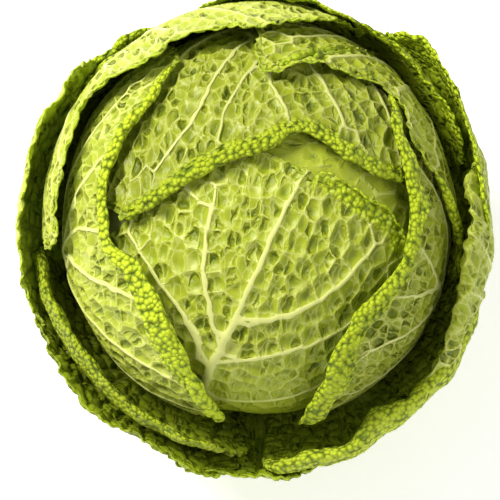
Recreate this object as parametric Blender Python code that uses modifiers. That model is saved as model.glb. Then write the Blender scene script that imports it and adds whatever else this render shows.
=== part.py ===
"""A savoy cabbage standing on its cut stem.

The head is built the way it grows: a short stem, a tight heart, and leaves that
each spring from the stem and wrap over the ones inside them. Every leaf is a
thin closed shell on its own layer, so no leaf runs through its neighbour.
Units are metres and degrees. +Z is the axis of the head, from stem to crown.
"""
import math

import bmesh
import bpy
import numpy as np

# Driving dimensions.
HEART_RADIUS = 0.0770          # the packed heart, across its waist
LAYER_STEP = 0.0025            # from one layer of leaves to the next
LEAF_THICKNESS = 0.0008
HEAD_CENTRE_Z = 0.0910
CROWN_FLATTENING = 0.88        # height over radius above the waist
BASE_FLATTENING = 0.80         # the same below it, where the head is flatter
HEAD_DEPTH = 1.06              # front-to-back size over width
STEM_RADIUS = 0.0185
STEM_CUT_BEVEL = 0.0008
STEM_CLEARANCE = 0.0007        # between the stem and each leaf's foot
HEART_CLEARANCE = 0.0004

# The outer leaves leave the head below the waist and stand open above it.
FLARE_START = -0.55            # sine of the latitude where they part from the head
FLARE_END = 0.25
FLARE_BY_LAYER = {6: 0.0015, 7: 0.0020, 8: 0.0045, 9: 0.0055, 10: 0.0080, 11: 0.0090}

COLUMN_WIDTH = 15.0            # degrees of rim to one column of faces
ROW_HEIGHT = 12.0              # degrees from foot to rim to one row

HEAD_GREEN = (0.42, 0.50, 0.06)
PALE_GREEN = (0.62, 0.68, 0.26)
OUTER_GREEN = (0.20, 0.33, 0.03)
STEM_CREAM = (0.78, 0.80, 0.52)

# Each leaf: where its midrib stands round the stem, its layer from the heart
# outwards, how far its foot wraps the stem to each side, and its rim from one
# side to the other. A rim point is (degrees to the side of the midrib's plane,
# degrees from the stem over the head, where 180 is the crown).
LEAVES = [
    ("tucked_leaf", 10, 1, 45, HEAD_GREEN,
     [(-42, 60), (-56, 105), (-42, 150), (-15, 174), (10, 179), (35, 168),
      (54, 130), (54, 95), (40, 60)]),
    ("front_leaf", 262, 2, 45, HEAD_GREEN,
     [(-44, 60), (-62, 100), (-52, 140), (-26, 172), (0, 183), (15, 180),
      (32, 175), (50, 166), (66, 132), (64, 95), (46, 60)]),
    ("crown_leaf", 85, 3, 45, HEAD_GREEN,
     [(-46, 60), (-64, 105), (-62, 145), (-46, 174), (-28, 177), (-11, 171),
      (4, 180), (20, 189), (38, 200), (58, 190), (70, 150), (66, 105), (46, 60)]),
    ("left_leaf", 195, 4, 42, HEAD_GREEN,
     [(-44, 60), (-62, 105), (-60, 150), (-44, 163), (-30, 155), (-16, 141),
      (4, 132), (16, 139), (34, 138), (52, 127), (63, 105), (60, 80), (44, 50)]),
    ("right_leaf", 345, 4, 42, HEAD_GREEN,
     [(-42, 50), (-60, 78), (-60, 105), (-47, 131), (-33, 137), (-8, 131),
      (10, 137), (26, 140), (42, 136), (58, 115), (56, 85), (42, 55)]),
    ("upper_right_leaf", 40, 5, 42, HEAD_GREEN,
     [(-42, 60), (-54, 88), (-46, 114), (-28, 130), (-17, 133), (-6, 128),
      (4, 139), (13, 150), (18, 160), (30, 153), (44, 128), (48, 95), (40, 60)]),
    ("top_left_leaf", 125, 6, 42, PALE_GREEN,
     [(-44, 60), (-62, 95), (-62, 128), (-46, 142), (-24, 146), (-4, 131),
      (6, 132), (19, 119), (32, 120), (45, 134), (58, 138), (64, 114),
      (56, 84), (44, 56)]),
    ("top_right_leaf", 62, 7, 38, HEAD_GREEN,
     [(-32, 55), (-46, 88), (-38, 110), (-18, 119), (0, 125), (20, 121),
      (38, 114), (46, 88), (32, 55)]),
    ("left_wrapper", 226, 8, 34, OUTER_GREEN,
     [(-28, 42), (-40, 68), (-36, 90), (-12, 97), (10, 94), (32, 92),
      (40, 70), (28, 42)]),
    ("upper_right_wrapper", 20, 8, 34, OUTER_GREEN,
     [(-28, 48), (-42, 78), (-34, 104), (-12, 114), (8, 112), (28, 108),
      (42, 80), (28, 48)]),
    ("back_wrapper", 118, 8, 34, OUTER_GREEN,
     [(-30, 44), (-38, 66), (-30, 83), (-10, 90), (10, 86), (28, 83),
      (38, 66), (30, 44)]),
    ("far_left_wrapper", 172, 9, 32, OUTER_GREEN,
     [(-26, 46), (-38, 76), (-32, 102), (-12, 110), (8, 106), (26, 94),
      (36, 72), (26, 44)]),
    ("lower_right_wrapper", 309, 10, 32, OUTER_GREEN,
     [(-26, 42), (-36, 66), (-29, 86), (-8, 93), (12, 92), (28, 88),
      (36, 70), (26, 42)]),
    ("back_right_wrapper", 66, 9, 32, OUTER_GREEN,
     [(-26, 42), (-34, 64), (-26, 82), (-6, 88), (12, 86), (28, 82),
      (36, 64), (26, 42)]),
    ("lower_left_wrapper", 231, 10, 32, OUTER_GREEN,
     [(-24, 40), (-34, 62), (-32, 84), (-12, 89), (10, 86), (27, 82),
      (34, 60), (24, 40)]),
    ("far_right_wrapper", 350, 9, 32, OUTER_GREEN,
     [(-26, 44), (-36, 70), (-32, 92), (-10, 108), (8, 114), (24, 102),
      (36, 76), (26, 44)]),
    ("back_left_wrapper", 138, 10, 32, OUTER_GREEN,
     [(-26, 40), (-36, 60), (-28, 78), (-8, 84), (12, 82), (28, 76),
      (36, 60), (26, 40)]),
    ("bottom_wrapper", 271, 11, 26, OUTER_GREEN,
     [(-20, 36), (-26, 54), (-20, 72), (-5, 84), (12, 80), (24, 69),
      (27, 54), (21, 36)]),
]


def start_collection(name):
    """Empty the file and give the cabbage its own collection."""
    for old in list(bpy.data.objects):
        bpy.data.objects.remove(old, do_unlink=True)
    collection = bpy.data.collections.new(name)
    bpy.context.scene.collection.children.link(collection)
    return collection


def plain_material(name, colour):
    material = bpy.data.materials.new(name)
    material.use_nodes = True
    shader = material.node_tree.nodes["Principled BSDF"]
    shader.inputs["Base Color"].default_value = (*colour, 1.0)
    shader.inputs["Roughness"].default_value = 0.5
    shader.inputs["Metallic"].default_value = 0.0
    return material


def add_object(collection, name, mesh, colour):
    mesh.materials.append(plain_material(name + "_finish", colour))
    mesh.shade_smooth()
    mesh.set_sharp_from_angle(angle=math.radians(50))
    piece = bpy.data.objects.new(name, mesh)
    collection.objects.link(piece)
    return piece


def head_point(direction, radius):
    """The point of a layer of the given waist radius in a direction from the centre."""
    x, y, z = direction
    flattening = CROWN_FLATTENING if z > 0.0 else BASE_FLATTENING
    return (radius * x, radius * HEAD_DEPTH * y, HEAD_CENTRE_Z + radius * flattening * z)


def flare(layer, height):
    """How far a layer's leaf stands off the head at a height from -1 to 1."""
    amount = FLARE_BY_LAYER.get(layer, 0.0)
    part = min(max((height - FLARE_START) / (FLARE_END - FLARE_START), 0.0), 1.0)
    return amount * part * part * (3.0 - 2.0 * part)


def smooth_curve(points, count):
    """Evenly spaced points along a Catmull-Rom curve through the given ones."""
    knots = np.array(points, dtype=float)
    padded = np.vstack([2 * knots[0] - knots[1], knots, 2 * knots[-1] - knots[-2]])
    dense = []
    for index in range(1, len(padded) - 2):
        before, start, end, after = padded[index - 1:index + 3]
        for t in np.linspace(0.0, 1.0, 24, endpoint=False):
            dense.append(0.5 * (2 * start + (end - before) * t
                                + (2 * before - 5 * start + 4 * end - after) * t ** 2
                                + (3 * start - before - 3 * end + after) * t ** 3))
    dense.append(knots[-1])
    dense = np.array(dense)
    length = np.r_[0.0, np.cumsum(np.linalg.norm(np.diff(dense, axis=0), axis=1))]
    wanted = np.linspace(0.0, length[-1], count)
    return np.column_stack([np.interp(wanted, length, dense[:, axis]) for axis in (0, 1)])


def leaf_foot(radius, half_wrap, count):
    """The foot's edge round the stem, as (across, along) angles in degrees."""
    reach = math.asin((STEM_RADIUS + STEM_CLEARANCE) / radius)
    foot = []
    for turn in np.radians(np.linspace(-half_wrap, half_wrap, count)):
        across = math.asin(math.sin(reach) * math.sin(turn))
        along = math.atan2(math.sin(reach) * math.cos(turn), math.cos(reach))
        foot.append((math.degrees(across), math.degrees(along)))
    return np.array(foot)


def leaf_direction(azimuth, across, along):
    """Unit vector at angles across and along a leaf whose midrib is at an azimuth."""
    turn, across, along = (math.radians(angle) for angle in (azimuth, across, along))
    outward = math.cos(across) * math.sin(along)
    sideways = math.sin(across)
    return (outward * math.cos(turn) - sideways * math.sin(turn),
            outward * math.sin(turn) + sideways * math.cos(turn),
            -math.cos(across) * math.cos(along))


def add_leaf(collection, name, azimuth, layer, half_wrap, colour, rim):
    """A thin leaf that fans out from its foot at the stem to its rim."""
    radius = HEART_RADIUS + layer * LAYER_STEP
    rim_length = sum(math.dist(rim[i], rim[i + 1]) for i in range(len(rim) - 1))
    columns = round(rim_length / COLUMN_WIDTH)
    rows = round(max(along for across, along in rim) / ROW_HEIGHT)
    foot = leaf_foot(radius, half_wrap, columns + 1)
    edge = smooth_curve(rim, columns + 1)
    shape = bmesh.new()
    bmesh.ops.create_grid(shape, x_segments=columns, y_segments=rows, size=0.5)
    for vertex in shape.verts:
        column = round((vertex.co.x + 0.5) * columns)
        outward = vertex.co.y + 0.5
        across, along = foot[column] * (1.0 - outward) + edge[column] * outward
        direction = leaf_direction(azimuth, across, along)
        vertex.co = head_point(direction, radius + flare(layer, direction[2]))
    bmesh.ops.reverse_faces(shape, faces=shape.faces)
    mesh = bpy.data.meshes.new(name)
    shape.to_mesh(mesh)
    shape.free()
    leaf = add_object(collection, name, mesh, colour)
    shell = leaf.modifiers.new("leaf_thickness", 'SOLIDIFY')
    shell.thickness = LEAF_THICKNESS
    shell.offset = 0.0
    shell.use_even_offset = True
    return leaf


def add_heart(collection):
    """The unseen, tightly packed inner leaves, as one solid."""
    shape = bmesh.new()
    bmesh.ops.create_uvsphere(shape, u_segments=24, v_segments=14, radius=1.0)
    for vertex in shape.verts:
        vertex.co = head_point(vertex.co, HEART_RADIUS)
    mesh = bpy.data.meshes.new("heart")
    shape.to_mesh(mesh)
    shape.free()
    return add_object(collection, "heart", mesh, PALE_GREEN)


def add_stem(collection):
    """The stump, cut flat where the head was picked."""
    top = HEAD_CENTRE_Z - BASE_FLATTENING * HEART_RADIUS - HEART_CLEARANCE
    shape = bmesh.new()
    bmesh.ops.create_cone(shape, cap_ends=True, segments=28, radius1=STEM_RADIUS,
                          radius2=STEM_RADIUS, depth=top)
    bmesh.ops.translate(shape, verts=shape.verts, vec=(0.0, 0.0, top / 2))
    mesh = bpy.data.meshes.new("stem")
    shape.to_mesh(mesh)
    shape.free()
    stem = add_object(collection, "stem", mesh, STEM_CREAM)
    edge = stem.modifiers.new("worn_cut_edge", 'BEVEL')
    edge.width = STEM_CUT_BEVEL
    edge.segments = 2
    edge.limit_method = 'ANGLE'
    return stem


cabbage = start_collection("savoy_cabbage")
add_stem(cabbage)
add_heart(cabbage)
for leaf_values in LEAVES:
    add_leaf(cabbage, *leaf_values)
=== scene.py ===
import heapq
import math
import random

import bpy
import numpy as np
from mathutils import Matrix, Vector, geometry


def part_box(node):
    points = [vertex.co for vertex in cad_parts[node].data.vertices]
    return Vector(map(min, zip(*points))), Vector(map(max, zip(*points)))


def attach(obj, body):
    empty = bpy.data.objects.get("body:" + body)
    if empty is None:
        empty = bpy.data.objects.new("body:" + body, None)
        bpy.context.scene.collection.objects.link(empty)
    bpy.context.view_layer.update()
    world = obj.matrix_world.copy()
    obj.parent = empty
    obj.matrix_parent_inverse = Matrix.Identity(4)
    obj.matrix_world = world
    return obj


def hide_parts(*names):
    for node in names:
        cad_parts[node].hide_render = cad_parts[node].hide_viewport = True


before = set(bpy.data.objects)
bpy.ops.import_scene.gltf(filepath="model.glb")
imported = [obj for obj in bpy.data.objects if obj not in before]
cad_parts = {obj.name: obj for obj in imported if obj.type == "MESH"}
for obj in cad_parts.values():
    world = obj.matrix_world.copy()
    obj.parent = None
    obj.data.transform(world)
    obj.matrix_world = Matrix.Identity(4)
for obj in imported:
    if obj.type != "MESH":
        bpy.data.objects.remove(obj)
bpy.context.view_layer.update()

# --- Stem -----------------------------------------------------------------
# The stump that every leaf grows from: moist, fibrous cream flesh with a
# tougher green-white rind, cut flat with a knife where the head was picked.
stem_low, stem_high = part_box("stem")
STEM_RADIUS = (stem_high.x - stem_low.x) / 2
STEM_SIDES = 96
CUT_FACE_INSET = 0.0022
CUT_FACE_HOLLOW = 0.0004
SCAR_RINGS = (0.004, 0.008)    # heights over the cut where the rind's scars are shaped
SCAR_START = 0.002             # below this the cut keeps the stump round
SCAR_RIDGE = 0.0005


class Wire:
    """A value travelling between shader nodes, so that maths reads as maths."""

    def __init__(self, tree, socket):
        self.tree = tree
        self.socket = socket

    def _maths(self, operation, first, second):
        node = self.tree.nodes.new("ShaderNodeMath")
        node.operation = operation
        for slot, value in enumerate((first, second)):
            if isinstance(value, Wire):
                self.tree.links.new(value.socket, node.inputs[slot])
            else:
                node.inputs[slot].default_value = value
        return Wire(self.tree, node.outputs[0])

    def __add__(self, other):
        return self._maths('ADD', self, other)

    def __radd__(self, other):
        return self._maths('ADD', other, self)

    def __rsub__(self, other):
        return self._maths('SUBTRACT', other, self)

    def __mul__(self, other):
        return self._maths('MULTIPLY', self, other)

    def __rmul__(self, other):
        return self._maths('MULTIPLY', other, self)


class Finish:
    """A material built node by node round one Principled shader."""

    def __init__(self, name, **constants):
        self.material = bpy.data.materials.new(name)
        self.material.use_nodes = True
        self.tree = self.material.node_tree
        self.shader = self.tree.nodes["Principled BSDF"]
        for socket, value in constants.items():
            self.shader.inputs[socket.replace("_", " ")].default_value = value

    def node(self, kind, settings, sockets, output=0):
        """Add a node: its settings first, then the values or links of its sockets."""
        made = self.tree.nodes.new(kind)
        for setting, value in settings.items():
            setattr(made, setting, value)
        for socket, value in sockets.items():
            if isinstance(value, Wire):
                self.tree.links.new(value.socket, made.inputs[socket])
            else:
                made.inputs[socket].default_value = value
        return Wire(self.tree, made.outputs[output])

    def blend(self, amount, first, second):
        """Mix two colours by an amount from 0 to 1."""
        sockets = {0: amount}
        for slot, colour in ((6, first), (7, second)):
            sockets[slot] = colour if isinstance(colour, Wire) else (*colour, 1.0)
        return self.node("ShaderNodeMix", {"data_type": 'RGBA'}, sockets, output=2)

    def clamp(self, value, low, high):
        """Stretch the part of a value between low and high to 0..1, with soft ends."""
        return self.node("ShaderNodeMapRange", {"interpolation_type": 'SMOOTHSTEP'},
                         {0: value, 1: low, 2: high, 3: 0.0, 4: 1.0})

    def channels(self, colour):
        """The red, green and blue values of a colour."""
        parts = self.tree.nodes.new("ShaderNodeSeparateColor")
        self.tree.links.new(colour.socket, parts.inputs[0])
        return [Wire(self.tree, parts.outputs[number]) for number in range(3)]

    def tones(self, name):
        """The three values that a piece keeps for each vertex under a name."""
        return self.channels(self.node("ShaderNodeAttribute", {"attribute_name": name}, {},
                                       output="Color"))

    def own_place(self):
        """Coordinates of the piece itself, in metres."""
        return self.node("ShaderNodeTexCoord", {}, {}, output="Object")

    def noise(self, where, scale, detail, output=0):
        """Soft random mottling, finer at a larger scale."""
        return self.node("ShaderNodeTexNoise", {},
                         {"Vector": where, "Scale": scale, "Detail": detail}, output)

    def bump(self, height, strength, distance, under=None):
        """Raise the surface by a height, over the bumps made before it."""
        sockets = {"Strength": strength, "Distance": distance, "Height": height}
        if under is not None:
            sockets["Normal"] = under
        return self.node("ShaderNodeBump", {}, sockets)

    def connect(self, **inputs):
        """Lead wires into the shader's own inputs."""
        for socket, wire in inputs.items():
            self.tree.links.new(wire.socket, self.shader.inputs[socket.replace("_", " ")])


def deselect_all():
    for chosen in list(bpy.context.selected_objects):
        chosen.select_set(False)


def place_piece(piece, node):
    """Hang a finished piece under the root body and hide the solid that it stands for."""
    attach(piece, "root")
    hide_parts(node)


def cut_stem():
    height = stem_high.z - stem_low.z
    deselect_all()
    bpy.ops.mesh.primitive_cylinder_add(vertices=STEM_SIDES, radius=STEM_RADIUS, depth=height,
                                        location=(0.0, 0.0, stem_low.z + height / 2))
    stump = bpy.context.object
    stump.name = "cut_stem"
    bpy.ops.object.transform_apply(location=True, rotation=True, scale=True)
    bpy.ops.object.mode_set(mode='EDIT')
    bpy.ops.mesh.select_all(action='DESELECT')
    bpy.ops.object.mode_set(mode='OBJECT')
    for face in stump.data.polygons:
        face.select = face.normal.z < -0.9
    bpy.ops.object.mode_set(mode='EDIT')
    bpy.ops.mesh.inset(thickness=CUT_FACE_INSET, depth=0.0)
    bpy.ops.mesh.inset(thickness=CUT_FACE_INSET / 2, depth=-CUT_FACE_HOLLOW)
    bpy.ops.mesh.poke()
    for ring in SCAR_RINGS:
        bpy.ops.mesh.select_all(action='SELECT')
        bpy.ops.mesh.bisect(plane_co=(0, 0, stem_low.z + ring), plane_no=(0, 0, 1))
    bpy.ops.object.mode_set(mode='OBJECT')
    for vertex in stump.data.vertices:
        turn = math.atan2(vertex.co.y, vertex.co.x)
        if vertex.co.z > stem_low.z + SCAR_START:
            ridge = math.sin(9 * turn) * math.sin(5 * turn + 1.0) - 1.0
            vertex.co.x += SCAR_RIDGE * ridge * math.cos(turn)
            vertex.co.y += SCAR_RIDGE * ridge * math.sin(turn)
    bpy.ops.object.shade_smooth_by_angle(angle=math.radians(40))
    return stump


def stem_finish():
    flesh = Finish("stem_flesh", Roughness=0.42, Subsurface_Weight=0.12,
                   Subsurface_Scale=0.004)
    where = flesh.own_place()
    rings = flesh.node("ShaderNodeTexWave", {"wave_type": 'RINGS', "rings_direction": 'Z'},
                       {"Vector": where, "Scale": 260.0, "Distortion": 3.0, "Detail": 3.0})
    blotch = flesh.noise(where, 160.0, 6.0)
    cut = flesh.blend(flesh.clamp(blotch, 0.40, 0.72), (0.74, 0.72, 0.46), (0.50, 0.40, 0.18))
    colour = flesh.blend(rings * 0.25, cut, (0.60, 0.56, 0.28))
    flesh.connect(Base_Color=colour,
                  Normal=flesh.bump(rings + blotch * 2.0, 0.5, 0.0003))
    return flesh.material


stem = cut_stem()
stem.data.materials.append(stem_finish())
place_piece(stem, "stem")

# --- Heart ----------------------------------------------------------------
# The small leaves packed inside the head: pale, waxy and tightly folded. They
# are never seen from outside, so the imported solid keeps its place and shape.
heart_low, heart_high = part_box("heart")
CROWN_FLATTENING = 0.88        # height over radius above the waist of the head
BASE_FLATTENING = 0.80         # the same below it
HEAD_DEPTH = 1.06              # front-to-back size over width
HEART_RADIUS = (heart_high.z - heart_low.z) / (CROWN_FLATTENING + BASE_FLATTENING)
HEAD_CENTRE_Z = heart_low.z + BASE_FLATTENING * HEART_RADIUS


def heart_finish():
    leaf = Finish("packed_heart", Roughness=0.5)
    where = leaf.own_place()
    mottle = leaf.noise(where, 90.0, 5.0)
    leaf.connect(Base_Color=leaf.blend(mottle, (0.50, 0.55, 0.14), (0.70, 0.72, 0.34)),
                 Normal=leaf.bump(mottle, 0.6, 0.001))
    return leaf.material


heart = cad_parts["heart"]
heart.data.materials.clear()
heart.data.materials.append(heart_finish())

# --- Leaves of the head ---------------------------------------------------
# Each leaf is one waxy green sheet, about a millimetre thick, that springs from
# the stem and wraps over the leaves inside it. Ribs stand proud of its outer
# face, the green between them is blistered, and its rim rolls back outwards.
MM = 0.001                     # the leaves' own sizes are in millimetres
LAYER_STEP = 0.0025            # from one layer of leaves to the next, in metres
STEM_CLEARANCE = 0.0007
LEAF_THICKNESS = 0.8
FLARE_START = -0.55            # sine of the latitude where a loose leaf parts from the head
FLARE_END = 0.25               # and where it stands off in full
FLARE_BY_LAYER = {6: 4.5, 7: 4.0, 8: 4.5, 9: 5.5, 10: 8.0, 11: 9.0}     # how far, in full
SPAN_POINTS = 40               # points of a curve between two of its knots
FAR_AWAY = 99.0                # a distance that the first real one always beats


def leaf_vectors(azimuth, across, along):
    """Unit vectors at degrees across and along a leaf whose midrib is at an azimuth."""
    turn, across, along = (np.radians(angle) for angle in (azimuth, across, along))
    outward = np.cos(across) * np.sin(along)
    sideways = np.sin(across)
    return np.column_stack([outward * np.cos(turn) - sideways * np.sin(turn),
                            outward * np.sin(turn) + sideways * np.cos(turn),
                            -np.cos(across) * np.cos(along)])


def leaf_angles(azimuth, vectors):
    """The reverse: degrees across and along for directions from the head's centre."""
    turn = math.radians(azimuth)
    outward = vectors[:, 0] * math.cos(turn) + vectors[:, 1] * math.sin(turn)
    sideways = vectors[:, 1] * math.cos(turn) - vectors[:, 0] * math.sin(turn)
    along = np.degrees(np.arctan2(outward, -vectors[:, 2])) % 360.0
    return np.degrees(np.arcsin(np.clip(sideways, -1.0, 1.0))), along


def unit(vectors):
    return vectors / np.linalg.norm(vectors, axis=1)[:, None]


def way_along(points):
    """Distance travelled along a line of points up to each of them."""
    return np.r_[0.0, np.cumsum(np.linalg.norm(np.diff(points, axis=0), axis=1))]


def distance_to(line, points):
    """Distance from each point of a flat leaf to the nearest point of a line."""
    return np.min(np.hypot(points[:, None, 0] - line[None, :, 0],
                           points[:, None, 1] - line[None, :, 1]), axis=1)


def pointed_out(directions, outwards):
    """The same directions, all turned round if most of them point inwards."""
    against = np.mean(np.einsum("ij,ij->i", directions, outwards)) < 0
    return -directions if against else directions


def on_head(vectors, radius):
    """Points of a layer of the head in the given directions from its centre."""
    flattening = np.where(vectors[:, 2] > 0.0, CROWN_FLATTENING, BASE_FLATTENING)
    points = vectors * np.reshape(radius, (-1, 1))
    points[:, 1] *= HEAD_DEPTH
    points[:, 2] = HEAD_CENTRE_Z + points[:, 2] * flattening
    return points


def from_head(points):
    """Directions from the head's centre to points on any of its layers."""
    vectors = points - np.array([0.0, 0.0, HEAD_CENTRE_Z])
    vectors[:, 1] /= HEAD_DEPTH
    vectors[:, 2] /= np.where(vectors[:, 2] > 0.0, CROWN_FLATTENING, BASE_FLATTENING)
    return unit(vectors)


def smooth_curve(points, count, weight=None):
    """Points along a Catmull-Rom curve through the given ones, even or by weight."""
    knots = np.array(points, dtype=float)
    padded = np.vstack([2 * knots[0] - knots[1], knots, 2 * knots[-1] - knots[-2]])
    dense = []
    for index in range(1, len(padded) - 2):
        before, start, end, after = padded[index - 1:index + 3]
        for t in np.linspace(0.0, 1.0, SPAN_POINTS, endpoint=False):
            dense.append(0.5 * (2 * start + (end - before) * t
                                + (2 * before - 5 * start + 4 * end - after) * t ** 2
                                + (3 * start - before - 3 * end + after) * t ** 3))
    dense.append(knots[-1])
    dense = np.array(dense)
    step = np.linalg.norm(np.diff(dense[:, :2], axis=0), axis=1)
    if weight is not None:
        step = step * weight(0.5 * (dense[1:] + dense[:-1]))
    length = np.r_[0.0, np.cumsum(step)]
    wanted = np.linspace(0.0, length[-1], count)
    return np.column_stack([np.interp(wanted, length, column) for column in dense.T])


def soft_step(value, low, high):
    """0 up to low, 1 from high on, and a smooth rise between them."""
    part = np.clip((value - low) / (high - low), 0.0, 1.0)
    return part * part * (3.0 - 2.0 * part)


def standing_off(layer, vectors):
    """How far the leaves of a loose layer stand off the head in the given directions."""
    opened = soft_step(vectors[:, 2], FLARE_START, FLARE_END)
    return FLARE_BY_LAYER.get(layer, 0.0) * MM * opened


def lattice_random(cell_x, cell_y, seed):
    """A repeatable random number from 0 to 1 for each cell of an endless grid."""
    mixed = np.sin(cell_x * 127.1 + cell_y * 311.7 + seed * 74.7) * 43758.5453
    return mixed - np.floor(mixed)


def swell(points, size, seed):
    """Smooth random swelling from -1 to 1 over points on a flat leaf."""
    scaled = points / size
    corner = np.floor(scaled)
    part = scaled - corner
    part = part * part * (3.0 - 2.0 * part)
    total = 0.0
    for step_x in (0, 1):
        for step_y in (0, 1):
            share_x = part[:, 0] if step_x else 1.0 - part[:, 0]
            share_y = part[:, 1] if step_y else 1.0 - part[:, 1]
            total = total + share_x * share_y * lattice_random(
                corner[:, 0] + step_x, corner[:, 1] + step_y, seed)
    return 2.0 * total - 1.0


def blisters(points, size, seed):
    """Distance to the nearest blister's middle and to its crease, in blister sizes."""
    scaled = points / size
    corner = np.floor(scaled)
    nearest = np.full(len(points), FAR_AWAY)
    second = np.full(len(points), FAR_AWAY)
    for step_x in (-1, 0, 1):
        for step_y in (-1, 0, 1):
            cell_x, cell_y = corner[:, 0] + step_x, corner[:, 1] + step_y
            middle_x = cell_x + 0.1 + 0.8 * lattice_random(cell_x, cell_y, seed)
            middle_y = cell_y + 0.1 + 0.8 * lattice_random(cell_x, cell_y, seed + 5)
            distance = np.hypot(scaled[:, 0] - middle_x, scaled[:, 1] - middle_y)
            second = np.minimum(second, np.maximum(nearest, distance))
            nearest = np.minimum(nearest, distance)
    return nearest, second - nearest


FLAT_MIDDLE = 112.0            # degrees along the leaf of the place that it is laid flat from


def flatten_leaf(azimuth, vectors, radius):
    """Millimetre coordinates of directions on a leaf laid out flat from its middle."""
    middle = leaf_vectors(azimuth, np.zeros(1), np.full(1, FLAT_MIDDLE))[0]
    onward = leaf_vectors(azimuth, np.zeros(1), np.full(1, FLAT_MIDDLE + 90.0))[0]
    sideways = np.cross(onward, middle)
    bend = np.arccos(np.clip(vectors @ middle, -1.0, 1.0))
    stretch = radius / MM * np.where(bend > 1e-6, bend / np.maximum(np.sin(bend), 1e-6), 1.0)
    return np.column_stack([vectors @ sideways, vectors @ onward]) * stretch[:, None]


CELL_SIZE = 9.0
# Distances between the green cells, as shares of a cell's size.
CELL_BESIDE_RIB = 0.46
CLOSEST_BY_RIB = 0.55
CLOSEST_ELSEWHERE = 0.66
CELL_ROW = 0.85
CELL_SHIFT = 0.33


def vein_cells(outline, ribs, spacing, dice):
    """Middles of the green cells: pairs along each rib, then a loose filling."""
    middles = []

    def add_middle(point, closest):
        if all(np.hypot(*(point - other)) > spacing * closest for other in middles):
            middles.append(point)

    for rib in ribs:
        length = way_along(rib)
        places = np.arange(spacing / 2, length[-1], spacing)
        walk = np.column_stack([np.interp(places, length, rib[:, axis]) for axis in (0, 1)])
        heading = unit(np.gradient(walk, axis=0))
        beside = np.column_stack([-heading[:, 1], heading[:, 0]]) * spacing * CELL_BESIDE_RIB
        for point in np.vstack([walk + beside, walk - beside]):
            add_middle(point, CLOSEST_BY_RIB)
    low, high = outline.min(axis=0) - spacing, outline.max(axis=0) + spacing
    row = 0
    y = low[1]
    while y < high[1]:
        x = low[0] + (row % 2) * spacing / 2
        while x < high[0]:
            shift = dice.uniform(-CELL_SHIFT, CELL_SHIFT, 2) * spacing
            add_middle(np.array([x, y]) + shift, CLOSEST_ELSEWHERE)
            x += spacing
        y += spacing * CELL_ROW
        row += 1
    return np.array(middles)


BY_RIB_COST = 0.25             # what a step beside a rib costs the sap, if others cost 1
RIB_PULL = 7.0                 # millimetres from the rib by which the cost is full


def vein_flow(middles, ribs, foot):
    """How much of the leaf each vein between two cells drains towards the foot."""
    made = geometry.delaunay_2d_cdt([Vector(point) for point in middles], [], [], 0, 1e-5)
    corners = np.array([list(vertex) for vertex in made[0]])
    joints, between = [], {}
    for number, face in enumerate(made[2]):
        a, b, c = (corners[index] for index in face)
        joints.append((a + b + c) / 3.0)
        for first, second in zip(face, face[1:] + face[:1]):
            between.setdefault((min(first, second), max(first, second)), []).append(number)
    joints = np.array(joints)
    off_rib = distance_to(np.vstack(ribs), joints)
    cost_here = BY_RIB_COST + (1.0 - BY_RIB_COST) * np.clip(off_rib / RIB_PULL, 0.0, 1.0)
    ways = [[] for joint in joints]
    for pair, faces in between.items():
        if len(faces) == 2:
            first, second = faces
            cost = (np.hypot(*(joints[first] - joints[second]))
                    * (cost_here[first] + cost_here[second]))
            ways[first].append((second, cost, pair))
            ways[second].append((first, cost, pair))
    start = int(np.argmin(np.hypot(*(joints - foot).T)))
    reached = {start: 0.0}
    parent = {}
    order = []
    queue = [(0.0, start)]
    while queue:
        travelled, joint = heapq.heappop(queue)
        if travelled > reached[joint]:
            continue
        order.append(joint)
        for other, cost, pair in ways[joint]:
            if travelled + cost < reached.get(other, math.inf):
                reached[other] = travelled + cost
                parent[other] = (joint, pair)
                heapq.heappush(queue, (travelled + cost, other))
    carried = np.ones(len(joints))
    flow = np.zeros((len(corners), len(corners)), dtype=np.float32)
    for joint in reversed(order[1:]):
        towards, pair = parent[joint]
        carried[towards] += carried[joint]
        flow[pair[0], pair[1]] = flow[pair[1], pair[0]] = carried[joint]
    return corners, flow


# A vein's least size, what it gains with the root of its flow, and its greatest size.
VEIN_WIDTH = (0.20, 0.10, 2.1)
VEIN_HEIGHT = (0.10, 0.12, 2.0)
VEIN_BOLDNESS = (0.25, 0.13, 1.0)
VEIN_SHOULDER = 0.5            # millimetres over which a vein falls away beside its width
CLOSEST_CELLS = 6
BATCH = 4000                   # points worked on at a time, to spare memory


def grown(carried, least, gain, most):
    return np.minimum(least + gain * carried, most)


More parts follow.
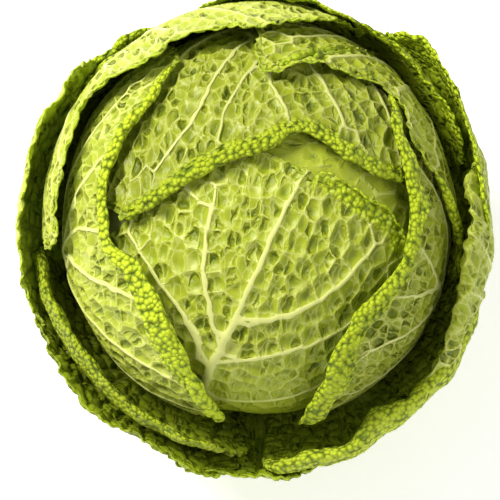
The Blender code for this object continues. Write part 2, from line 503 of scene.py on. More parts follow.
def vein_relief(points, cells, flow):
    """Vein height, distance from its line and its flank, in millimetres, and boldness."""
    height, inside, flank, strength = np.zeros((4, len(points)))
    for begin in range(0, len(points), BATCH):
        batch = slice(begin, begin + BATCH)
        part = points[batch]
        square = ((part[:, None, :] - cells[None, :, :]) ** 2).sum(axis=2)
        close = np.argpartition(square, CLOSEST_CELLS, axis=1)[:, :CLOSEST_CELLS]
        close_square = np.take_along_axis(square, close, axis=1)
        order = np.argsort(close_square, axis=1)
        close = np.take_along_axis(close, order, axis=1)
        close_square = np.take_along_axis(close_square, order, axis=1)
        home = close[:, 0]
        tall = np.zeros(len(part))
        depth = np.full(len(part), FAR_AWAY)
        clear = np.full(len(part), FAR_AWAY)
        bold = np.zeros(len(part))
        for rank in range(1, CLOSEST_CELLS):
            other = close[:, rank]
            gap = np.linalg.norm(cells[home] - cells[other], axis=1)
            away = (close_square[:, rank] - close_square[:, 0]) / (2.0 * gap)
            carried = np.sqrt(flow[home, other])
            width = grown(carried, *VEIN_WIDTH)
            profile = np.exp(-(away / (width + VEIN_SHOULDER)) ** 2)
            tall = np.maximum(tall, profile * grown(carried, *VEIN_HEIGHT))
            depth = np.minimum(depth, away)
            bold = np.where(away - width < clear, grown(carried, *VEIN_BOLDNESS), bold)
            clear = np.minimum(clear, away - width)
        height[batch], inside[batch], flank[batch], strength[batch] = tall, depth, clear, bold
    return height, inside, flank, strength


MIDRIB_TAPER = (2.0, 0.45)     # half its width at the foot and at the tip
SIDE_RIB_TAPER = (1.05, 0.30)
RIB_HEIGHT = 1.1               # over half its width
RIB_SHOULDER = 0.35
LEAST_BOLDNESS = 0.65          # how pale even the thinnest rib is


def rib_cords(points, ribs):
    """Height of the smooth round ribs, distance from their flanks, and how bold they are."""
    height = np.zeros(len(points))
    flank = np.full(len(points), FAR_AWAY)
    bold = np.zeros(len(points))
    for number, rib in enumerate(ribs):
        widest, narrowest = MIDRIB_TAPER if number == 0 else SIDE_RIB_TAPER
        taper = np.linspace(widest, narrowest, len(rib))
        for begin in range(0, len(points), 2 * BATCH):
            part = slice(begin, begin + 2 * BATCH)
            square = ((points[part, None, :] - rib[None, :, :]) ** 2).sum(axis=2)
            near = np.argmin(square, axis=1)
            away = np.sqrt(square[np.arange(len(near)), near])
            width = taper[near]
            cord = RIB_HEIGHT * width * np.exp(-(away / (width + RIB_SHOULDER)) ** 2)
            height[part] = np.maximum(height[part], cord)
            closer = away - width < flank[part]
            flank[part] = np.where(closer, away - width, flank[part])
            bolder = LEAST_BOLDNESS + (1.0 - LEAST_BOLDNESS) * width / widest
            bold[part] = np.where(closer, bolder, bold[part])
    return height, flank, bold


RIB_EDGE = 0.6                 # millimetres beside a rib that still take its boldness
VEIN_SHAKE = 0.7               # millimetres by which the veins waver
VEIN_SHAKE_SIZE = 4.5


def ribs_and_veins(shaken, outline, rib_lines, seed):
    """The leaf's relief of ribs and veins together, as vein_relief gives it."""
    cells = vein_cells(outline, rib_lines, CELL_SIZE, np.random.default_rng(seed))
    cells, flow = vein_flow(cells, rib_lines, rib_lines[0][0])
    height, inside, flank, strength = vein_relief(shaken, cells, flow)
    cord, clear, bold = rib_cords(shaken, rib_lines)
    strength = np.where(clear < RIB_EDGE, np.maximum(strength, bold), strength)
    return (np.maximum(height, cord), np.minimum(inside, np.maximum(clear, 0.0)),
            np.minimum(flank, clear), strength)


FAN_START = 25.0               # millimetres behind the foot that the wrinkles fan out from
FAN_RADIUS = 130.0             # how far from there they keep their true width


def fan_out(flat, foot):
    """Coordinates that run round and away from the foot, as the wrinkles do."""
    away = flat - (foot - [0.0, FAN_START])
    return np.column_stack([np.arctan2(away[:, 0], away[:, 1]) * FAN_RADIUS,
                            np.hypot(away[:, 0], away[:, 1])])


def read_points(mesh):
    points = np.zeros(len(mesh.vertices) * 3)
    mesh.vertices.foreach_get("co", points)
    return points.reshape(-1, 3)


def rows_and_columns(name, columns, rows):
    """A flat grid whose vertices say how far round and how far out they lie."""
    deselect_all()
    bpy.ops.mesh.primitive_grid_add(x_subdivisions=columns, y_subdivisions=rows, size=2.0)
    sheet = bpy.context.object
    sheet.name = name
    flat = read_points(sheet.data)
    return sheet, (flat[:, 0] + 1.0) / 2.0, (flat[:, 1] + 1.0) / 2.0


def read_normals(mesh):
    mesh.update()
    normals = np.zeros(len(mesh.vertices) * 3, dtype=np.float32)
    mesh.vertex_normals.foreach_get("vector", normals)
    return normals.reshape(-1, 3).astype(float)


def store_tones(mesh, name, *channels):
    """Keep three values from 0 to 1 for each vertex, as one of the piece's attributes."""
    values = np.column_stack([*channels, np.ones(len(mesh.vertices))])
    tones = mesh.attributes.new(name, 'FLOAT_COLOR', 'POINT')
    tones.data.foreach_set("color", values.astype(np.float32).ravel())


def lay_flat_map(mesh, name, flat):
    """Keep the flat leaf's coordinates, in centimetres, as one of the piece's own maps."""
    layer = mesh.uv_layers.new(name=name)
    corners = np.zeros(len(mesh.loops), dtype=np.int32)
    mesh.loops.foreach_get("vertex_index", corners)
    layer.data.foreach_set("uv", (flat[corners] / 10.0).astype(np.float32).ravel())


def thicken(sheet):
    """Give the sheet its thickness inwards, with a blistered back and cut edge."""
    sheet.data.shade_smooth()
    sheet.data.materials.append(RIBBED_FACE)
    sheet.data.materials.append(BLISTERED_FACE)
    thick = sheet.modifiers.new("leaf_thickness", 'SOLIDIFY')
    thick.thickness = LEAF_THICKNESS * MM
    thick.offset = -1.0
    thick.material_offset = 1
    thick.material_offset_rim = 1
    deselect_all()
    sheet.select_set(True)
    bpy.context.view_layer.objects.active = sheet
    bpy.ops.object.modifier_apply(modifier=thick.name)


def thin_underside(sheet, covered, settled, share):
    """Smooth the side that lies against the next leaf and spend fewer faces on it."""
    whole = read_points(sheet.data)
    lower = np.arange(len(covered)) + len(covered)
    whole[lower] = np.where(covered[:, None], settled, whole[lower])
    sheet.data.vertices.foreach_set("co", whole.ravel())
    bed = sheet.vertex_groups.new(name="underside")
    bed.add((np.flatnonzero(covered) + len(covered)).tolist(), 1.0, 'REPLACE')
    thinner = sheet.modifiers.new("underside_faces", 'DECIMATE')
    thinner.ratio = share
    thinner.vertex_group = bed.name
    bpy.ops.object.modifier_apply(modifier=thinner.name)
    sheet.vertex_groups.clear()


RIM_POINTS = 1600              # places along the rim where its habit is worked out
ROLL_WIDTH = 1.45              # half the width of a roll over its radius
ROLL_STEPS = 400
THINNEST_ROLL = 0.4
LYING_ROLL = 0.8               # a rim with a thinner roll lies flat on the head,
FREE_BY = 1.5                  # and one that is this much thicker stands free
ROLLED_FROM, ROLLED_BY = 1.9, 3.4      # rolls between which frilly rims turn into rolled ones
LOBE_SIZE = 5.2
LINE_GAP = 3.7                 # keeps the swellings of one leaf's rim apart from the next's


def roll_crowding(knots):
    """Thicker rolls get more of the leaf's columns."""
    return 1.0 + 0.5 * np.minimum(knots[:, 2], 2.5)


class Rim:
    """A leaf's rim: where it runs, and how it rolls, frays and frills along its way."""

    def __init__(self, azimuth, layer, radius, knots, ragged, seed):
        edge = smooth_curve(knots, RIM_POINTS, roll_crowding)
        vectors = leaf_vectors(azimuth, edge[:, 0], edge[:, 1])
        points = on_head(vectors, radius + standing_off(layer, vectors))
        self.out = unit(points - np.array([0.0, 0.0, HEAD_CENTRE_Z]))
        waist = on_head(leaf_vectors(azimuth, np.zeros(1), np.full(1, 90.0)), radius)[0]
        self.over = pointed_out(unit(np.cross(self.out, unit(np.gradient(points, axis=0)))),
                                points - waist)
        self.travel = way_along(points) / MM
        self.take_habit(np.maximum(edge[:, 2], THINNEST_ROLL), ragged, seed)
        start = points - self.over * ((ROLL_WIDTH * self.roll - self.scallop) * MM)[:, None]
        self.start_vectors = from_head(start)
        self.start = np.column_stack(leaf_angles(azimuth, self.start_vectors))

    def take_habit(self, roll, ragged, seed):
        """Where the rim is free or curled, and its roll, notches, frill and curl there."""
        line = np.column_stack([self.travel, np.full(len(roll), seed * LINE_GAP)])

        def sway(length, number):
            return swell(line, length, seed + number)

        free = np.clip((roll - LYING_ROLL) / FREE_BY, 0.0, 1.0)
        curled = soft_step(roll, ROLLED_FROM, ROLLED_BY)
        lobe = np.clip(1.0 - (blisters(line, LOBE_SIZE, seed + 3)[0] / 0.62) ** 2, 0.0, 1.0)
        self.free = free
        self.curled = curled
        self.roll = roll * (1.0 + 0.26 * sway(18.0, 0) + 0.08 * sway(7.0, 1))
        self.scallop = (free * ragged * (2.4 * sway(27.0, 14) + 1.0 * sway(9.0, 2))
                        + free * (2.2 - 2.0 * curled) * (lobe - 0.6))
        self.frill = free * ((1.5 - 1.4 * curled) * lobe
                             + (1.8 - 1.2 * curled) * sway(13.0, 16))
        self.curl = np.radians(25.0 + free * (35.0 + 15.0 * sway(24.0, 4))
                               + curled * (100.0 + 12.0 * sway(24.0, 4)
                                           + 10.0 * sway(8.0, 5)))
        self.billow = np.maximum(0.45 + 0.9 * sway(30.0, 15), 0.0)


def foot_line(radius, wrap):
    """Degrees across and along of the line where a leaf springs from the stem."""
    reach = math.asin((STEM_RADIUS + STEM_CLEARANCE) / radius)
    turn = np.radians(np.linspace(-wrap, wrap, RIM_POINTS))
    return np.column_stack([np.degrees(np.arcsin(math.sin(reach) * np.sin(turn))),
                            np.degrees(np.arctan2(math.sin(reach) * np.cos(turn),
                                                  math.cos(reach)))])


def roll_path(rolled_up):
    """Angles turned round a roll of radius 1, and the length wound up to each."""
    turned = np.linspace(0.0, 2.0 * math.pi, ROLL_STEPS)
    speed = np.hypot(ROLL_WIDTH * np.cos(turned), rolled_up * np.sin(turned))
    return turned, np.r_[0.0, np.cumsum(speed[1:] * turned[1])]


EVENED_EACH_WAY = 40           # rim points over which its direction is averaged


def flat_over(start_flat):
    """Directions outwards over the rim of the flat leaf, evened out along it."""
    window = 2 * EVENED_EACH_WAY + 1
    run = np.column_stack([np.convolve(np.pad(np.gradient(start_flat[:, axis]),
                                              EVENED_EACH_WAY, mode="edge"),
                                       np.ones(window) / window, mode="valid")
                           for axis in (0, 1)])
    run /= np.maximum(np.linalg.norm(run, axis=1), 1e-9)[:, None]
    return pointed_out(np.column_stack([run[:, 1], -run[:, 0]]), start_flat)


UNDERSIDE_DEPTH = 2.3          # millimetres under the smooth middle of the leaf
# Shares of the rows from the foot outwards, and how far out they come: 1 is where the
# roll starts, and 2 is where it ends.
ROWS_USED = (0.0, 0.12, 0.80, 1.0)
PLACES_REACHED = (0.0, 0.30, 1.0, 2.0)
FRINGE_FADE = 5.5              # millimetres over which the bubbled zone fades inwards
SMALL_CELL = 4.4
RIM_BUBBLE = 2.8
CELL_SHOULDER = 1.7            # millimetres from a vein over which its cell sinks


def grow_leaf(name, azimuth, layer, knots, ribs, seed, columns=330, rows=170, wrap=45,
              wave=0.6, lift=1.2, ruffle=0.0, thin=0.74, bed=0.85, ragged=1.0,
              rolled_up=0.36, bubbly=1.0, fringe=6.0, wrinkled=1.0,
              smooth_foot=(35.0, 85.0), tone=0.5):
    """One leaf, from its foot at the stem to its rolled, blistered rim.

    A rim knot is (degrees across, degrees along, roll radius in millimetres), and each
    rib is a list of (degrees across, degrees along), the midrib first. The foot wraps
    the stem by wrap degrees to each side. wave, lift and ruffle are, in millimetres, how
    much the face sways, how far a free rim stands up and how deep its folds are. ragged
    and bubbly scale the rim's notches and bubbles, and fringe is the width of its
    bubbled zone. rolled_up is the roll's height over its radius, negative where the rim
    turns in. wrinkled scales the relief between the veins, and smooth_foot says how many
    millimetres from the foot it begins and is complete. A higher tone is paler and
    brighter: partly the leaf's own paleness, partly painted light for how much light
    falls on the leaf. Out to bed (0 at the foot, 1 where the roll starts) the underside
    lies on the next leaf, and thin is the share of the leaf's faces that is kept, the
    rest being spared there."""
    radius = HEART_RADIUS + layer * LAYER_STEP
    rim = Rim(azimuth, layer, radius, knots, ragged, seed)
    sheet, round_part, out_part = rows_and_columns(name, columns, rows)
    place = round_part * (RIM_POINTS - 1)
    index = np.minimum(np.floor(place).astype(int), RIM_POINTS - 2)
    share = (place - index)[:, None]

    def along_rim(values):
        """Values of the rim's points at the place of each vertex round the leaf."""
        values = values.reshape(RIM_POINTS, -1)
        return values[index] * (1.0 - share) + values[index + 1] * share

    # The sheet on the head, and the same sheet laid flat, in millimetres.
    out_part = np.interp(out_part, ROWS_USED, PLACES_REACHED)
    inward = np.minimum(out_part, 1.0)[:, None]
    angles = along_rim(foot_line(radius, wrap)) * (1.0 - inward) + along_rim(rim.start) * inward
    vectors = unit(leaf_vectors(azimuth, angles[:, 0], angles[:, 1]))
    start_flat = flatten_leaf(azimuth, rim.start_vectors, radius)
    turned, wound = roll_path(rolled_up)
    rolled_length = (np.maximum(out_part - 1.0, 0.0)[:, None]
                     * along_rim(np.interp(rim.curl, turned, wound)))
    winding = np.interp(rolled_length, wound, turned)
    roll_here = along_rim(rim.roll)
    flat = (flatten_leaf(azimuth, vectors, radius)
            + along_rim(flat_over(start_flat)) * rolled_length * roll_here)

    # How near the rim each vertex is, and the bends of the bare sheet.
    edge_distance = distance_to(start_flat[::16], flat)
    beside = np.column_stack([along_rim(rim.travel)[:, 0],
                              np.where(out_part > 1.0, (rolled_length * roll_here)[:, 0],
                                       -edge_distance)])
    near_rim = np.where(out_part > 1.0, 1.0,
                        1.0 - soft_step(edge_distance, fringe - FRINGE_FADE, fringe))
    near_rim = np.minimum(bubbly * near_rim
                          * (0.12 + along_rim(0.18 * rim.free + 0.70 * rim.curled)[:, 0]), 1.0)
    sway = wave * swell(flat, 26.0, seed + 6) + 0.35 * wave * swell(flat, 11.0, seed + 7)
    raised = lift * near_rim * along_rim(rim.free)[:, 0]
    raised += ruffle * along_rim(rim.billow)[:, 0] * soft_step(out_part, 0.45, 1.0)
    raised += along_rim(rim.frill)[:, 0] * soft_step(out_part, 0.80, 1.15)
    points = on_head(vectors, radius + standing_off(layer, vectors) + (sway + raised) * MM)
    points += (along_rim(rim.over) * np.sin(winding) * roll_here * ROLL_WIDTH
               + along_rim(rim.out) * (1.0 - np.cos(winding)) * roll_here * rolled_up) * MM
    settled = points - vectors * (UNDERSIDE_DEPTH * MM)
    sheet.data.vertices.foreach_set("co", points.ravel())
    normals = read_normals(sheet.data)
    if np.mean(np.einsum("ij,ij->i", normals, vectors)) < 0:
        sheet.data.flip_normals()
        normals = read_normals(sheet.data)

    # Ribs and veins stand proud, the cells between them sink, and the rim bubbles up.
    rib_curves = [smooth_curve(rib, 160) for rib in ribs]
    rib_lines = [flatten_leaf(azimuth, leaf_vectors(azimuth, curve[:, 0], curve[:, 1]), radius)
                 for curve in rib_curves]
    foot = rib_lines[0][0]
    shaken = flat + VEIN_SHAKE * np.column_stack([swell(flat, VEIN_SHAKE_SIZE, seed + 8),
                                                  swell(flat, VEIN_SHAKE_SIZE, seed + 9)])
    height, inside, flank, strength = ribs_and_veins(shaken, start_flat, rib_lines, seed)
    fan = fan_out(flat, foot)
    small_crease = blisters(fan * [1.0, 0.55] + 0.15 * (shaken - flat), SMALL_CELL,
                            seed + 10)[1]
    bubble_middle = blisters(beside, RIM_BUBBLE, seed + 11)[0]
    open_part = soft_step(np.hypot(*(flat - foot).T), *smooth_foot)
    calm = 1.0 - near_rim
    sunk = (1.0 - np.exp(-(inside / CELL_SHOULDER) ** 2)) * (0.45 + 0.55 * open_part)
    small_sunk = (1.0 - np.exp(-(small_crease * 2.2 / 0.8) ** 2)) * sunk * open_part
    puffs = np.clip(1.0 - (bubble_middle / 0.66) ** 2, 0.0, 1.0)
    relief = calm * (0.55 * height + wrinkled * (0.30 * swell(flat, 2.8, seed + 12) * sunk
                                                 - 1.35 * sunk - 0.60 * small_sunk))
    relief -= near_rim * (0.35 * puffs ** 0.7 + 0.9 * swell(flat, 8.0, seed + 13))
    points += normals * (relief * MM)[:, None]
    sheet.data.vertices.foreach_set("co", points.ravel())
    sheet.data.update()

    # Painted shade: a mask of the sunk cells and of the crevices between the rim's bubbles,
    # which the leaf's finish darkens as shade would, and also roughens.
    shaded_recess = calm * (0.6 * sunk + 0.4 * small_sunk) + near_rim * (1.0 - puffs)
    store_tones(sheet.data, "leaf_tones", np.clip(0.5 + 0.25 * flank, 0.0, 1.0), near_rim,
                np.clip(shaded_recess, 0.0, 1.0))
    store_tones(sheet.data, "leaf_place", np.clip(strength, 0.0, 1.0),
                np.full(len(flat), tone), open_part * wrinkled)
    lay_flat_map(sheet.data, "flat_leaf", flat)
    lay_flat_map(sheet.data, "fanned_leaf", fan)
    thicken(sheet)
    thin_underside(sheet, out_part < bed, settled, thin)
    return sheet


WRINKLE_SCALE = 3.1            # wrinkles to a unit of the pulled map
RIM_BUBBLE_SCALE = 420.0       # bubbles in a metre of rim
RIB_BUMP = 0.0007
WRINKLE_BUMP = 0.0021
RIM_BUBBLE_BUMP = 0.0016
GRAIN_BUMP = 0.0003


def leaf_finish(name, deep, light, vein, rim_shade_green, rim_light, rough):
    """A waxy leaf face: green cells darkened with painted shade where they sink, pale ribs, and
    a bubbled rim with painted shade in its crevices.
    """
    leaf = Finish(name, Subsurface_Weight=0.06, Subsurface_Scale=0.0015,
                  Subsurface_Radius=(0.6, 1.0, 0.15), Specular_IOR_Level=0.30)
    flank, near_rim, shaded_recess = leaf.tones("leaf_tones")
    bold, tone, open_part = leaf.tones("leaf_place")
    flat = leaf.node("ShaderNodeUVMap", {"uv_map": "flat_leaf"}, {})
    fan = leaf.node("ShaderNodeUVMap", {"uv_map": "fanned_leaf"}, {})
    drift = leaf.noise(flat, 2.4, 2.0, output="Color")
    pulled = leaf.node("ShaderNodeVectorMath", {"operation": 'MULTIPLY_ADD'},
                       {0: fan, 1: (1.15, 0.38, 1.0), 2: (0.0, 0.0, 0.0)})
    wander = leaf.node("ShaderNodeVectorMath", {"operation": 'MULTIPLY_ADD'},
                       {0: drift, 1: (0.24, 0.20, 0.0), 2: pulled})
    slot = leaf.node("ShaderNodeTexVoronoi", {"feature": 'DISTANCE_TO_EDGE'},
                     {"Vector": wander, "Scale": WRINKLE_SCALE})
    draw = leaf.node("ShaderNodeTexVoronoi", {"feature": 'F1'},
                     {"Vector": wander, "Scale": WRINKLE_SCALE}, output="Color")
    luck = leaf.channels(draw)[0]
    where = leaf.own_place()
    bubble = leaf.node("ShaderNodeTexVoronoi", {"feature": 'F1'},
                       {"Vector": where, "Scale": RIM_BUBBLE_SCALE}, output="Distance")
    grain = leaf.noise(flat, 12.0, 3.0)
    patches = leaf.noise(flat, 0.8, 2.0)
    calm = 1.0 - near_rim
    veins = 1.0 - leaf.clamp(flank, 0.44, 0.60)
    # The wrinkles' hollows: a real dent in the bump, and painted shade in the colour.
    hollow = leaf.clamp(slot, 0.0, 0.40) * leaf.clamp(luck, 0.10, 0.95)
    hollow = hollow * leaf.clamp(flank, 0.52, 0.75) * (0.35 + 0.65 * open_part)
    # Painted shade: the green turns to its darker colour in the sunk cells and the wrinkles'
    # hollows, deeper or lighter with the grain's real mottling.
    green = leaf.blend(leaf.clamp(0.64 * shaded_recess + 0.54 * hollow + 0.25 * grain, 0.25, 1.25),
                       light, deep)
    green = leaf.blend(leaf.clamp(patches, 0.35, 0.7) * 0.30, green, light)
    ridges = (1.0 - leaf.clamp(slot, 0.0, 0.09)) * 0.40
    green = leaf.blend(ridges * open_part, green, vein)
    # Painted shade in the crevices between the rim's bubbles and where the rim sinks.
    crevice_shade = leaf.clamp(bubble, 0.45, 0.85)
    fringe = leaf.blend(leaf.clamp(crevice_shade + 0.30 * shaded_recess, 0.0, 1.35), rim_light, rim_shade_green)
    green = leaf.blend(leaf.clamp(near_rim, 0.2, 0.8), green, fringe)
    sap = leaf.blend(0.20 + 0.80 * open_part, light, vein)
    green = leaf.blend(veins * bold * (1.0 - 0.8 * near_rim), green, sap)
    # The leaf's tone pales it towards its vein colour and scales its brightness: partly the
    # leaf's own paleness, partly painted light that brightens or darkens a whole leaf for how
    # much light falls on it.
    green = leaf.blend(leaf.clamp(tone, 0.5, 1.0) * 0.5, green, vein)
    shade = 0.62 + 0.76 * leaf.clamp(tone, 0.0, 1.0)
    dimmed = leaf.node("ShaderNodeVectorMath", {"operation": 'SCALE'}, {0: green, 3: shade})
    grained = leaf.bump(grain, 0.25, GRAIN_BUMP)
    slotted = leaf.bump(1.0 - hollow * calm, 1.0, WRINKLE_BUMP, grained)
    bubbled = leaf.bump((1.0 - bubble * bubble * 2.0) * near_rim, 1.0, RIM_BUBBLE_BUMP,
                        slotted)
    leaf.connect(Base_Color=dimmed,
                 Roughness=rough + 0.18 * grain + 0.15 * shaded_recess + 0.20 * near_rim,
                 Normal=leaf.bump(veins * bold * calm, 0.8, RIB_BUMP, bubbled))
    return leaf.material


# The darker colours of each face are painted shade for its sunk cells and for the crevices of
# its rim.
RIBBED_FACE = leaf_finish(
    "ribbed_leaf_face", deep=(0.058, 0.098, 0.001), light=(0.345, 0.410, 0.018),
    vein=(0.660, 0.685, 0.215), rim_shade_green=(0.170, 0.260, 0.001),
    rim_light=(0.480, 0.590, 0.012), rough=0.26)
BLISTERED_FACE = leaf_finish(
    "blistered_leaf_face", deep=(0.070, 0.125, 0.001), light=(0.350, 0.455, 0.012),
    vein=(0.480, 0.560, 0.060), rim_shade_green=(0.170, 0.260, 0.001),
    rim_light=(0.500, 0.620, 0.012), rough=0.28)


def head_leaf(node, azimuth, layer, rim, ribs, slot="head_leaf", **habit):
    """Grow a leaf of the head and put it in the place of its solid."""
    place_piece(grow_leaf(node + "_piece", azimuth, layer, rim, ribs, **habit), node)


# The tucked leaf shows only in a gap under its neighbours: smooth and pale.
head_leaf(
    "tucked_leaf", 10, 1,
    [(-42, 60, .4), (-56, 105, .4), (-42, 150, .4), (-15, 174, .4), (10, 179, .4),
     (35, 168, .4), (54, 130, .4), (54, 95, .4), (40, 60, .4)],
    [[(0, 14), (0, 60), (1, 100)]],
    seed=11, columns=180, rows=110, wrinkled=0.2, tone=0.60)

head_leaf(
    "front_leaf", 262, 2,
    [(-44, 60, .4), (-62, 100, .4), (-52, 140, .4), (-26, 172, .4), (0, 183, .4),
     (15, 180, 2.2), (32, 175, 2.9), (50, 166, 2.8), (66, 132, .6), (64, 95, .4),
     (46, 60, .4)],
    [[(-6, 14), (-8, 70), (-8, 105), (-2, 130), (4, 149), (8, 163), (14, 178)],
     [(-4, 122), (-9, 137), (-12, 151), (-11, 170)],
     [(-6, 112), (-16, 130), (-26, 140), (-36, 150)],
     [(-8, 92), (-24, 110), (-38, 122)],
     [(0, 134), (14, 136), (28, 145), (40, 160)],
     [(-4, 117), (12, 122), (30, 128), (46, 140)],
     [(-6, 97), (8, 98), (24, 102), (44, 112)]],
    seed=12, smooth_foot=(95.0, 160.0))

head_leaf(
    "crown_leaf", 85, 3,
    [(-46, 60, .4), (-64, 105, .4), (-62, 145, .5), (-46, 174, 3.0), (-28, 177, 3.6),
     (-11, 171, 3.2), (4, 180, 3.8), (20, 189, 3.6), (38, 200, 2.6), (58, 190, .5),
     (70, 150, .4), (66, 105, .4), (46, 60, .4)],
    [[(0, 14), (-1, 110), (-1, 150), (-6, 162), (-9, 172)],
     [(4, 128), (13, 147), (20, 168), (29, 182)],
     [(0, 140), (9, 160), (12, 176)],
     [(-4, 132), (-16, 148), (-26, 166)],
     [(2, 110), (22, 128), (38, 158)],
     [(-2, 108), (-24, 124), (-40, 148)]],
    seed=13, tone=0.36)

head_leaf(
    "left_leaf", 195, 4,
    [(-44, 60, .4), (-62, 105, .4), (-60, 150, .4), (-44, 163, 1.6), (-30, 155, 4.0),
     (-16, 141, 5.0), (4, 132, 4.6), (16, 139, 6.0), (34, 138, 8.0), (52, 127, 7.0),
     (63, 105, 3.8), (60, 80, .8), (44, 50, .4)],
    [[(-2, 14), (-5, 80), (-5, 110), (0, 124), (4, 132)],
     [(-5, 96), (8, 112), (22, 128), (34, 136)],
     [(-5, 84), (14, 96), (34, 108), (50, 116)],
     [(-5, 72), (18, 78), (40, 84), (58, 92)],
     [(-6, 100), (-14, 118), (-20, 138)],
     [(-6, 88), (-22, 110), (-38, 140)],
     [(-6, 74), (-30, 92), (-50, 120)]],
    seed=14, tone=0.62)

head_leaf(
    "right_leaf", 345, 4,
    [(-42, 50, .4), (-60, 78, 1.0), (-60, 105, 5.2), (-47, 131, 8.0), (-33, 137, 8.6),
     (-8, 131, 7.6), (10, 137, 5.4), (26, 140, 3.6), (42, 136, 1.6), (58, 115, .4),
     (56, 85, .4), (42, 55, .4)],
    [[(0, 14), (-4, 70), (-7, 97), (-5, 116), (-3, 130)],
     [(-6, 88), (-22, 102), (-38, 120)],
     [(-6, 76), (-26, 84), (-48, 96)],
     [(-6, 98), (-16, 114), (-22, 130)],
     [(-5, 92), (10, 110), (18, 132)],
     [(-4, 78), (16, 96), (34, 118)]],
    seed=15, tone=0.42)

head_leaf(
    "upper_right_leaf", 40, 5,
    [(-42, 60, .5), (-54, 88, 2.4), (-46, 114, 3.0), (-28, 130, 2.4), (-17, 133, 2.0),
     (-6, 128, 1.8), (4, 139, 2.0), (13, 150, 2.4), (18, 160, 2.2), (30, 153, 2.0),
     (44, 128, .5), (48, 95, .4), (40, 60, .4)],
    [[(0, 14), (0, 80), (-2, 108), (-5, 126)],
     [(0, 96), (8, 118), (12, 140)],
     [(0, 84), (16, 108), (24, 140)],
     [(-2, 92), (-16, 108), (-24, 122)],
     [(-1, 78), (-24, 90), (-42, 104)]],
    seed=16, columns=320, rows=160, tone=0.5)

head_leaf(
    "top_left_leaf", 125, 6,
    [(-44, 60, .4), (-62, 95, .6), (-62, 128, 1.8), (-46, 142, 2.0), (-24, 146, 2.0),
     (-4, 135, 1.8), (6, 136, 2.0), (19, 125, 2.0), (32, 126, 2.0), (45, 134, 2.0),
     (58, 136, 2.2), (64, 114, 1.6), (56, 84, .5), (44, 56, .4)],
    [[(0, 14), (0, 80), (-2, 108), (-4, 128)],
     [(0, 90), (10, 106), (14, 118)],
     [(0, 76), (22, 98), (40, 122)],
     [(0, 94), (-14, 114), (-22, 138)],
     [(0, 78), (-26, 100), (-46, 130)]],
    slot="pale_leaf", seed=17, columns=360, rows=160, tone=0.66)

head_leaf(
    "top_right_leaf", 62, 7,
    [(-32, 55, .5), (-46, 88, 1.5), (-38, 110, 2.0), (-18, 119, 2.3), (0, 125, 2.4),
     (20, 121, 2.2), (38, 114, 2.0), (46, 88, .8), (32, 55, .4)],
    [[(0, 14), (0, 80), (0, 122)],
     [(0, 80), (-14, 98), (-26, 110)],
     [(0, 80), (14, 98), (24, 112)]],
    seed=18, columns=240, rows=110, wrap=38, bubbly=2.2, fringe=14.0, tone=0.55)

# --- Outer wrappers -------------------------------------------------------
# The oldest leaves, darker and tougher. They hug the base of the head, then
# stand open round its waist, so their blistered inner faces show from above.
LOOSE_HABIT = {"columns": 250, "rows": 105, "wave": 1.1, "lift": 0.5, "ruffle": 2.6,
               "ragged": 2.0, "thin": 0.86, "bed": 0.55}
BACK_HABIT = {"columns": 220, "rows": 90, "ruffle": 0.6}
# Each pair of side ribs: where it leaves the midrib, the degrees that it spreads, and
# where it ends, the first and last as shares of the leaf's length.
SIDE_RIBS = ((0.45, 12, 0.95), (0.32, 22, 0.85), (0.22, 30, 0.68))


def wrap_outside(node, azimuth, layer, rim, seed, tone, wrap=32, **habit):
    """An outer leaf that stands open, with ribs fanning from its foot."""
    top = max(along for across, along, roll in rim)
    lean = random.Random(seed)
    ribs = [[(0, 12), (lean.uniform(-3, 3), top * 0.6), (lean.uniform(-4, 4), top)]]
    for side in (-1, 1):
        for start, spread, end in SIDE_RIBS:
            ribs.append([(0, top * (start + lean.uniform(-0.05, 0.05))),
                         (side * spread * lean.uniform(0.4, 0.7), top * (start + end) / 2),
                         (side * spread, top * (end + lean.uniform(-0.08, 0.05)))])
    leaf = grow_leaf(node + "_piece", azimuth, layer, rim, ribs, seed, wrap=wrap, tone=tone,
                     **{**LOOSE_HABIT, **habit})
    place_piece(leaf, node)


wrap_outside("left_wrapper", 226, 8,
             [(-28, 42, .5), (-40, 68, 2.0), (-36, 90, 6.0), (-12, 97, 6.0), (10, 94, 4.5),
              (32, 92, 3.0), (40, 70, 1.0), (28, 42, .5)], 21, 0.30, rolled_up=-0.50,
             ragged=1.4, fringe=9.0)
wrap_outside("upper_right_wrapper", 20, 8,
             [(-28, 48, .5), (-42, 78, 2.0), (-34, 104, 2.4), (-12, 114, 2.6),
              (8, 112, 2.4), (28, 108, 2.4), (42, 80, 1.0), (28, 48, .5)], 22, 0.62,
             ruffle=3.0, bubbly=2.6, fringe=22.0)
wrap_outside("back_wrapper", 118, 8,
             [(-30, 44, .5), (-38, 66, 1.5), (-30, 83, 2.5), (-10, 90, 3.0), (10, 86, 3.0),
              (28, 83, 2.5), (38, 66, 1.0), (30, 44, .5)], 23, 0.50, **BACK_HABIT)
wrap_outside("far_left_wrapper", 172, 9,
             [(-26, 46, .5), (-38, 76, 1.0), (-32, 102, 1.6), (-12, 110, 1.6),
              (8, 106, 2.0), (26, 94, 2.0), (36, 72, 1.0), (26, 44, .5)], 24, 0.72,
             ragged=2.4, ruffle=3.4)
wrap_outside("lower_right_wrapper", 309, 10,
             [(-26, 42, .5), (-36, 66, 2.0), (-29, 86, 5.0), (-8, 93, 7.0), (12, 92, 7.0),
              (28, 88, 5.0), (36, 70, 1.5), (26, 42, .5)], 25, 0.60, rolled_up=-0.75,
             ragged=1.2, fringe=12.0)
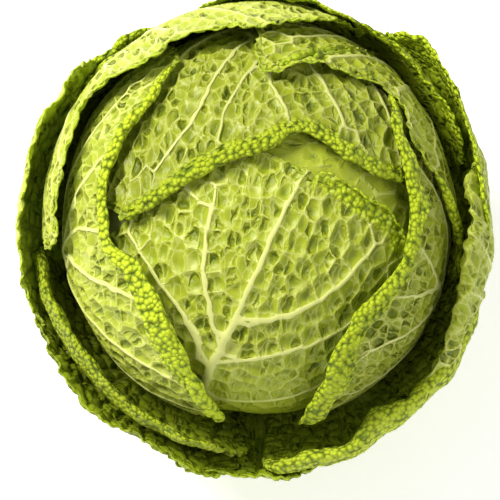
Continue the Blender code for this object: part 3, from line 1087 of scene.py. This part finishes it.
wrap_outside("back_right_wrapper", 66, 9,
             [(-26, 42, .5), (-34, 64, 1.5), (-26, 82, 3.0), (-6, 88, 3.5), (12, 86, 3.0),
              (28, 82, 2.5), (36, 64, 1.0), (26, 42, .5)], 26, 0.50, **BACK_HABIT)
wrap_outside("lower_left_wrapper", 231, 10,
             [(-24, 40, .5), (-34, 62, 1.0), (-32, 84, 1.6), (-12, 89, 1.6), (10, 86, 1.8),
              (27, 82, 2.4), (34, 60, 1.0), (24, 40, .5)], 27, 0.35, ragged=2.2)
wrap_outside("far_right_wrapper", 350, 9,
             [(-26, 44, .5), (-36, 70, 1.5), (-32, 92, 6.0), (-10, 108, 7.5), (8, 114, 7.0),
              (24, 102, 4.5), (36, 76, 1.0), (26, 44, .5)], 28, 0.56, rolled_up=-0.52,
             bubbly=0.15, wave=2.2, ruffle=1.2, ragged=1.6)
wrap_outside("back_left_wrapper", 138, 10,
             [(-26, 40, .5), (-36, 60, 1.5), (-28, 78, 3.0), (-8, 84, 3.0), (12, 82, 3.0),
              (28, 76, 2.5), (36, 60, 1.0), (26, 40, .5)], 29, 0.50, **BACK_HABIT)
wrap_outside("bottom_wrapper", 271, 11,
             [(-20, 36, .5), (-26, 54, 1.0), (-20, 72, 1.8), (-5, 84, 2.0), (12, 80, 1.8),
              (24, 69, 1.6), (27, 54, 1.0), (21, 36, .5)], 30, 0.55, wrap=26,
             ruffle=5.0)

# --- Table top, light and camera ------------------------------------------
# A plain white sheet under soft studio light: one large soft lamp over the far
# left of the cabbage, a weak one opposite, and an even white surround.
CAMERA_ELEVATION = math.radians(70.0)
CAMERA_DISTANCE = 0.965
LENS = 154.7
SLIDE_RIGHT = -0.0031          # of the camera, as seen from it
SLIDE_UP = -0.0124


def white_floor():
    deselect_all()
    bpy.ops.mesh.primitive_plane_add(size=6.0)
    floor = bpy.context.object
    floor.name = "floor_sheet"
    paper = Finish("white_paper", Roughness=0.9, Emission_Color=(1.0, 1.0, 1.0, 1.0),
                   Emission_Strength=0.42)
    where = paper.own_place()
    grain = paper.noise(where, 40.0, 2.0)
    paper.connect(Base_Color=paper.blend(grain, (0.90, 0.90, 0.90), (0.93, 0.93, 0.93)))
    floor.data.materials.append(paper.material)


def soft_lamp(name, place, size, watts, colour=(1.0, 1.0, 1.0)):
    light = bpy.data.lights.new(name, 'AREA')
    light.shape = 'DISK'
    light.size = size
    light.energy = watts
    light.color = colour
    lamp = bpy.data.objects.new(name, light)
    lamp.location = place
    aim = Vector((0.0, 0.0, HEAD_CENTRE_Z)) - Vector(place)
    lamp.rotation_euler = aim.to_track_quat('-Z', 'Y').to_euler()
    bpy.context.scene.collection.objects.link(lamp)


white_floor()
soft_lamp("window_lamp", (-0.65, 0.35, 1.00), 0.55, 17.5, (1.0, 0.98, 0.94))
soft_lamp("weak_fill", (0.8, -0.5, 0.8), 0.9, 3.0)
surround = bpy.data.worlds.new("even_surround")
surround.use_nodes = True
surround.node_tree.nodes["Background"].inputs["Color"].default_value = (1.0, 1.0, 1.0, 1.0)
surround.node_tree.nodes["Background"].inputs["Strength"].default_value = 0.50
bpy.context.scene.world = surround
bpy.context.scene.view_settings.view_transform = 'Standard'

back = Vector((0.0, -math.cos(CAMERA_ELEVATION), math.sin(CAMERA_ELEVATION)))
up = Vector((0.0, math.sin(CAMERA_ELEVATION), math.cos(CAMERA_ELEVATION)))
sight = bpy.data.cameras.new("overhead_camera")
sight.lens = LENS
sight.sensor_width = 36.0
camera = bpy.data.objects.new("overhead_camera", sight)
camera.location = (Vector((SLIDE_RIGHT, 0.0, HEAD_CENTRE_Z)) + up * SLIDE_UP
                   + back * CAMERA_DISTANCE)
camera.rotation_euler = (-back).to_track_quat('-Z', 'Y').to_euler()
bpy.context.scene.collection.objects.link(camera)
bpy.context.scene.camera = camera
